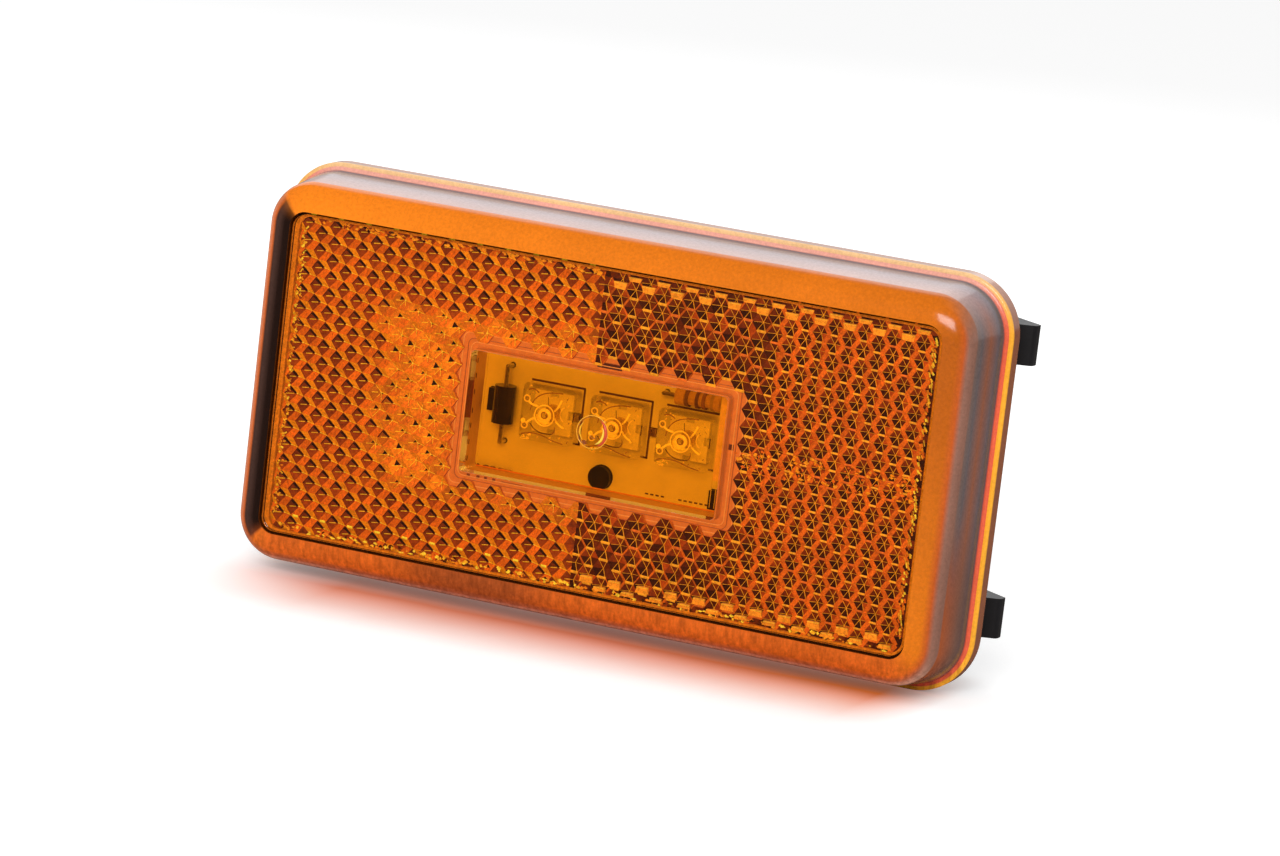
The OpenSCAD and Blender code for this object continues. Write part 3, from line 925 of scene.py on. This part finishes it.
build_panel()


PANE_TINT = (0.9, 0.27, 0.004)


def under(r, g, b):
    """The colour that shows as this screen colour when it is seen through the tinted window."""
    return tuple(min(0.95, c / t) for c, t in zip(srgb(r, g, b), PANE_TINT))


def build_window():
    """The plain frame round the window, with its walls down towards the board, and the pane."""
    p = Paint("window_walls")
    lines = p.noise(1.4, 2.0, 0.6, (1, 5, 1))
    tone = p.times(p.tone(), p.remap(lines, 0.3, 0.7, 0.9, 1.1))
    p.principled(tone, 0.3, IOR=1.5, Specular_IOR_Level=0.2)
    walls = Shape()
    hw, hh = WINDOW_HALF
    brim_y, front_y = -11.62, -13.1
    patch = (-11.66, -11.6)
    brim = rounded(hw + 2.6, hh + 2.9, 1.2, WINDOW_Z)
    mouth = rounded(hw, hh, 0.6, WINDOW_Z)
    lining = rounded(hw + 0.14, hh + 0.14, 0.7, WINDOW_Z)
    walls.loop(brim, mouth, brim_y, PANEL_BACK, srgb(222, 106, 26))
    inward, outward = (0.7, 0.26, 0.1), srgb(224, 110, 22)
    walls.loop(lining, rounded(hw + 0.02, hh + 0.02, 0.6, WINDOW_Z), front_y, brim_y,
               [outward, inward, outward, inward] * len(mouth))
    walls.loop(rounded(hw + WELL_T, hh + WELL_T, 1.6, WINDOW_Z), mouth, PANEL_BACK, WELL_END,
               under(224, 112, 22))
    # steps and edges of the moulding round the window
    for grow, wide, tone in ((0.1, 0.16, srgb(206, 92, 14)), (0.75, 0.1, srgb(246, 140, 50)),
                             (1.2, 0.1, srgb(176, 76, 16)), (1.9, 0.14, srgb(240, 132, 44))):
        walls.loop(rounded(hw + grow + wide, hh + grow + wide, 0.9, WINDOW_Z),
                   rounded(hw + grow, hh + grow, 0.8, WINDOW_Z), -11.72, -11.6, tone)
    # a lighter patch on the right wall, with bright vertical lines as painted highlights
    walls.box(hw - 1.55, hw - 0.05, -3.7, hh - 0.75, -11.3, -11.16, under(238, 124, 26))
    for x in (hw - 1.6, hw - 0.95, hw - 0.35):
        walls.ridge((x, -11.28, -7.3), (x, -11.28, hh - 0.7), 0.1, 0.04, under(255, 176, 70))
    walls.ridge((-hw + 0.3, -8.3, -hh - 0.2), (hw, -8.3, -hh - 0.2), 0.22, 0.1, srgb(252, 176, 70))
    walls.ridge((-hw + 0.35, -8.4, -hh), (-hw + 0.35, -8.4, hh - 0.5), 0.14, 0.08, under(250, 164, 50))
    for z in (6.1, 4.1, 1.9, -0.6, -2.6, -4.8, -7.0):
        walls.ridge((-hw + 0.12, -11.2, z - 0.32), (-hw + 0.12, -11.2, z + 0.32), 0.13, 0.06,
                    (0.08, 0.05, 0.03))
    # parts of the board and the base that show through the moulding as brown patches
    for x in (-17.4, -16.0, -14.9, -13.7):
        walls.box(x - 0.22, x + 0.22, -9.35, -8.65, *patch, srgb(132, 52, 8))
    walls.box(-12.6, -9.6, -9.3, -9.05, *patch, srgb(184, 84, 18))
    walls.box(-1.0, 2.5, 8.25, 8.95, *patch, srgb(84, 30, 6))
    walls.box(hw + 0.05, hw + 0.95, 0.75, 1.5, *patch, srgb(96, 36, 8))
    light_through(piece("window_well", walls, p.material))

    def glassy(name, tint, fresnel):
        """Clear plastic: the tint colours what is seen through it, and light passes nearly untinted."""
        p = Paint(name)
        seen = p.add("LightPath").outputs["Is Camera Ray"]
        through = p.colours(seen, (0.0, (1, 0.985, 0.96)), (1.0, tint))
        clear = p.add("BsdfTransparent", {"Color": through}).outputs[0]
        gloss = p.add("BsdfGlossy", {"Color": (1, 1, 1, 1), "Roughness": 0.03}).outputs[0]
        edge = p.math("MULTIPLY", p.add("Fresnel", {"IOR": 1.45}).outputs[0], fresnel)
        return p.surface(p.add("MixShader", {0: edge, 1: clear, 2: gloss}).outputs[0])

    pane = Shape()
    pane.loop(rounded(EDGE_W - SEAM, EDGE_H - SEAM, 1.9), mouth, PANEL_Y, PANE_BACK, (1, 1, 1))
    piece("lens_pane", pane, glassy("amber_pane", (1.0, 0.985, 0.95), 0.6))
    plug = Shape()
    plug.prism(rounded(hw - 0.02, hh - 0.02, 0.6, WINDOW_Z), PANEL_Y, PANEL_BACK - 0.05, (1, 1, 1))
    piece("window_pane", plug, glassy("window_pane", tuple(math.sqrt(c) for c in PANE_TINT), 0.6))
    gate_mark()


def gate_mark():
    """The round moulding mark in the middle of the pane."""
    p = Paint("gate_mark")
    p.principled(p.times(p.tone(), p.remap(p.noise(3.0), 0.3, 0.7, 0.9, 1.1)), 0.25, IOR=1.5)
    mark = Shape()

    def arc(radius, a0, a1, thick, tone, cx=0.05, cz=-0.05):
        points = []
        for i in range(25):
            a = math.radians(a0 + (a1 - a0) * i / 24)
            points.append((cx + radius * math.cos(a), PANEL_Y - 0.02, cz + radius * math.sin(a)))
        swell = thick if a1 - a0 > 300 else (lambda t: 0.02 + (thick - 0.02) * math.sin(math.pi * t))
        mark.tube(points, swell, tone, 8)

    # the full ring is the mark's outline; the bright and dark arcs are painted highlights and painted shade
    arc(2.2, 0, 360, 0.075, srgb(236, 156, 24))
    arc(1.95, -62, 62, 0.26, srgb(208, 74, 44))
    arc(1.6, -70, 30, 0.2, srgb(252, 206, 62))
    arc(1.75, 140, 225, 0.13, srgb(240, 170, 30))
    arc(2.02, 95, 265, 0.05, srgb(150, 74, 4))
    arc(0.6, 200, 330, 0.07, srgb(176, 92, 6), cx=0.3, cz=-0.2)
    arc(1.3, 225, 262, 0.24, srgb(140, 62, 4), cx=-0.3, cz=-0.35)
    piece("gate_mark", mark, p.material, smooth=True)


build_window()


# ---------------------------------------------------------------- lights and print on the board
def led_art(art, x0):
    """The leadframe's edges and its glints, painted highlights, that show in one light-emitting diode."""
    front = LED_SEAT - 1.82
    dark, deep = under(128, 54, 2), under(84, 34, 0)
    lit, mid = (1.0, 1.0, 0.7), under(246, 178, 26)

    def stroke(points, width, tone, y=front):
        art.tube([(x0 + u, y, LED_Z + w) for u, w in points], width / 2, tone, 6)

    def ring(u, w, r, width, tone, y=front, a0=0, a1=360):
        stroke([(u + r * math.cos(math.radians(a)), w + r * math.sin(math.radians(a)))
                for a in range(a0, a1 + 1, 12)], width, tone, y)

    stroke(bend((-2.5, 0.2), (-2.3, 3.1), (1.9, 3.1)), 0.13, dark)
    stroke(bend((-2.3, -1.5), (-1.3, -2.9), (0.9, -2.45)), 0.14, deep)
    stroke(bend((0.9, -2.45), (1.4, -2.1), (1.2, -1.4), 5), 0.12, dark)
    foot = bend((-3.4, -3.1), (-1.9, -2.5), (-0.2, -2.9)) + bend((0.2, -3.0), (1.4, -3.4), (2.6, -3.5), 5)
    stroke(foot, 0.13, dark)
    stroke([(-0.1, 2.3), (0.04, 1.3)], 0.1, deep)
    stroke([(3.74, 0.95), (3.72, -0.35)], 0.17, under(70, 28, 0))
    stroke(bend((-3.0, 2.9), (-2.2, 3.3), (-1.5, 2.7), 6), 0.16, dark)
    for w in (1.69, -1.87):
        ring(-3.1, w, 0.42, 0.14, mid)
        ring(-3.1, w, 0.16, 0.1, dark)
    stroke(bend((-1.5, 0.9), (-2.2, 0.9), (-2.8, 1.3), 6), 0.3, mid)
    stroke(bend((-1.6, -0.7), (-2.3, -0.9), (-2.8, -1.5), 6), 0.3, mid)
    ring(-3.35, -1.3, 0.2, 0.26, lit)
    stroke(bend((0.95, 0.6), (1.5, 1.1), (1.85, 2.2), 6), 0.24, lit)
    stroke(bend((1.1, -0.3), (1.4, -1.0), (2.5, -1.4), 6), 0.24, lit)
    ring(2.9, 0.4, 1.1, 0.1, mid, front, 120, 250)
    ring(0, 0, 1.38, 0.17, mid, -9.3)
    ring(0, 0, 1.0, 0.42, lit, -9.25, 180, 288)
    ring(0, 0, 0.72, 0.5, mid, -9.2)
    ring(0, 0, 1.1, 0.2, lit, -9.25, 290, 325)
    ring(0.1, 0.1, 0.42, 0.12, dark, -9.6)
    ring(-0.1, -0.45, 0.5, 0.09, mid, -9.5, 200, 330)
    for _ in range(26):
        u, w = rng.choice(((rng.uniform(2.2, 3.5), rng.uniform(-3.4, 3.4)),
                           (rng.uniform(-3.2, -1.4), rng.uniform(2.2, 3.4)),
                           (rng.uniform(-3.5, 3.0), rng.uniform(-3.5, -2.9))))
        size = rng.uniform(0.1, 0.28)
        stroke([(u, w), (u + rng.uniform(-size, size), w + size)], 0.1,
               rng.choice((dark, lit, mid, under(170, 84, 4))))


def print_on_board():
    """The print on the board, the resistors' bands, and the painted glints of the light-emitting diodes."""
    p = Paint("board_print")
    p.principled(p.times(p.tone(), p.remap(p.noise(2.0), 0.3, 0.7, 0.85, 1.15)), 0.5)
    ink = under(98, 38, 0)
    lines = Shape()
    y0, y1 = BOARD_Y - 0.05, BOARD_Y + 0.02

    def bar(x0, x1, z0, z1):
        lines.box(x0, x1, z0, z1, y0, y1, ink)

    for x in LED_X:
        bar(x - 3.84, x + 3.9, LED_Z + 3.68, LED_Z + 3.95)
        bar(x + 3.68, x + 3.95, LED_Z - 3.75, LED_Z + 3.8)
        bar(x + 2.95, x + 3.9, LED_Z - 3.78, LED_Z - 3.52)
    for start, count in ((5.3, 4), (10.05, 6)):
        for i in range(count):
            bar(start + i * 0.75, start + i * 0.75 + 0.45, -8.3, -8.1)
    piece("board_print", lines, p.material)
    bands = Shape()
    turns = 24
    for name, places in (("resistor_upper", (10.35, 11.8, 12.75, 13.95)),
                         ("resistor_lower", (-18.6, -17.2, -16.2, -15.0))):
        low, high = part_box(name)
        cy, cz = (low.y + high.y) / 2 / MM, (low.z + high.z) / 2 / MM
        radius = (high.z - low.z) / 2 / MM + 0.03
        for k, x in enumerate(places):
            tone = under((120, 112, 138, 170)[k], (50, 44, 56, 84)[k], 3)
            inner = radius - 0.12
            ring = [(x - 0.22, radius), (x + 0.22, radius), (x + 0.22, inner), (x - 0.22, inner)]
            verts, faces = [], []
            for i in range(turns):
                a = 2 * math.pi * i / turns
                verts += [(px, cy + r * math.cos(a), cz + r * math.sin(a)) for px, r in ring]
                here, there = 4 * i, 4 * ((i + 1) % turns)
                faces += [(here + j, here + (j + 1) % 4, there + (j + 1) % 4, there + j) for j in range(4)]
            bands.add(verts, faces, tone)
    piece("resistor_bands", bands, p.material, smooth=False)
    p = Paint("led_edges_and_painted_glints")
    tone = p.times(p.tone(), p.remap(p.noise(3.0), 0.3, 0.7, 0.9, 1.1))
    # everything drawn inside the diodes glows faintly by emission, so the glints show as painted highlights
    p.principled(tone, 0.2, Emission_Color=tone, Emission_Strength=0.55)
    art = Shape()
    for x in LED_X:
        led_art(art, x)
    piece("led_edges_and_painted_glints", art, p.material, smooth=True)


print_on_board()


# ---------------------------------------------------------------- materials of the CAD nodes
def dress(material, *names):
    for name in names:
        mesh = nodes[name].data
        mesh.materials.clear()
        mesh.materials.append(material)


def black_plastic(name, low, high, rough):
    """Moulded plastic, rubber or resin between two dark tones, with a fine grain."""
    p = Paint(name)
    grain = p.noise(6.0, 4.0, 0.65)
    cloud = p.noise(0.15, 2.0)
    colour = p.colours(p.math("ADD", p.math("MULTIPLY", grain, 0.5), p.math("MULTIPLY", cloud, 0.5)),
                       (0.3, low), (0.7, high))
    return p.principled(colour, p.remap(grain, 0.3, 0.7, rough - 0.08, rough + 0.08),
                        Normal=p.bump(grain, 0.35, 0.03))


dress(black_plastic("black_housing", srgb(17, 16, 18), srgb(33, 31, 34), 0.42), "base_housing",
      "snap_arm_upper_right", "snap_arm_lower_right", "snap_arm_upper_left", "snap_arm_lower_left")
dress(black_plastic("seal_rubber", srgb(16, 16, 17), srgb(27, 27, 28), 0.75), "lens_seal")
dress(black_plastic("potting_resin", srgb(30, 30, 34), srgb(48, 48, 54), 0.22), "potting_plug")
dress(black_plastic("diode_black", srgb(22, 20, 22), srgb(60, 52, 48), 0.18), "diode_body")


def metal(name, low, high, rough):
    p = Paint(name)
    streak = p.noise(2.5, 4.0, 0.6, (1, 0.2, 1))
    colour = p.colours(streak, (0.3, low), (0.7, high))
    return p.principled(colour, p.remap(streak, 0.3, 0.7, rough - 0.06, rough + 0.08), Metallic=1.0,
                        Normal=p.bump(streak, 0.1, 0.02))


tinned = metal("tinned_metal", (0.42, 0.41, 0.39), (0.66, 0.65, 0.62), 0.3)
dress(tinned, "diode_leads", "resistor_leads")


def leadframe_with_painted_glow():
    p = Paint("leadframe_with_painted_glow")
    streak = p.noise(2.5, 4.0, 0.6, (1, 0.2, 1))
    colour = p.colours(streak, (0.3, (0.86, 0.82, 0.7)), (0.7, (0.95, 0.93, 0.85)))
    # the leadframe glows faintly by emission, a painted highlight
    return p.principled(colour, 0.35, Emission_Color=colour, Emission_Strength=0.22,
                        Normal=p.bump(streak, 0.1, 0.02))


dress(leadframe_with_painted_glow(), "led_leadframes")
dress(metal("solder", (0.48, 0.48, 0.47), (0.72, 0.72, 0.7), 0.22), "solder_joints")
dress(metal("brass_blade", (0.55, 0.36, 0.12), (0.78, 0.56, 0.24), 0.28), "terminal_left", "terminal_right")
dress(metal("gold_chip", (0.75, 0.5, 0.12), (0.95, 0.72, 0.25), 0.3), "led_chips")


def board_white():
    p = Paint("white_board")
    cloud = p.noise(0.35, 3.0)
    weave = p.noise(4.0, 2.0, 0.5)
    colour = p.colours(cloud, (0.3, (0.83, 0.83, 0.79)), (0.7, (0.9, 0.9, 0.87)))
    return p.principled(p.times(colour, p.remap(weave, 0.3, 0.7, 0.97, 1.03)), 0.32,
                        Normal=p.bump(weave, 0.1, 0.02))


dress(board_white(), "circuit_board")


def resistor_paint():
    """The tan lacquer of the resistors' bodies."""
    p = Paint("resistor_tan")
    grain = p.noise(3.0, 3.0)
    return p.principled(p.colours(grain, (0.3, srgb(196, 160, 110)), (0.7, srgb(222, 190, 142))), 0.3)


dress(resistor_paint(), "resistor_lower", "resistor_upper")


def clear_epoxy():
    p = Paint("clear_epoxy")
    wave = p.noise(0.8, 2.0)
    facing = p.add("LayerWeight", {"Blend": 0.35}).outputs["Facing"]
    tint = p.colours(p.math("ADD", facing, p.math("MULTIPLY", p.math("SUBTRACT", wave, 0.5), 0.15)),
                     (0.0, (1.0, 1.0, 0.98)), (0.8, (0.97, 0.94, 0.86)), (1.0, (0.74, 0.62, 0.4)))
    clear = p.add("BsdfTransparent", {"Color": tint}).outputs[0]
    gloss = p.add("BsdfGlossy", {"Color": (1, 1, 1, 1), "Roughness": 0.05}).outputs[0]
    edge = p.add("Fresnel", {"IOR": 1.55}).outputs[0]
    return p.surface(p.add("MixShader", {0: edge, 1: clear, 2: gloss}).outputs[0])


dress(clear_epoxy(), "led_left", "led_middle", "led_right")
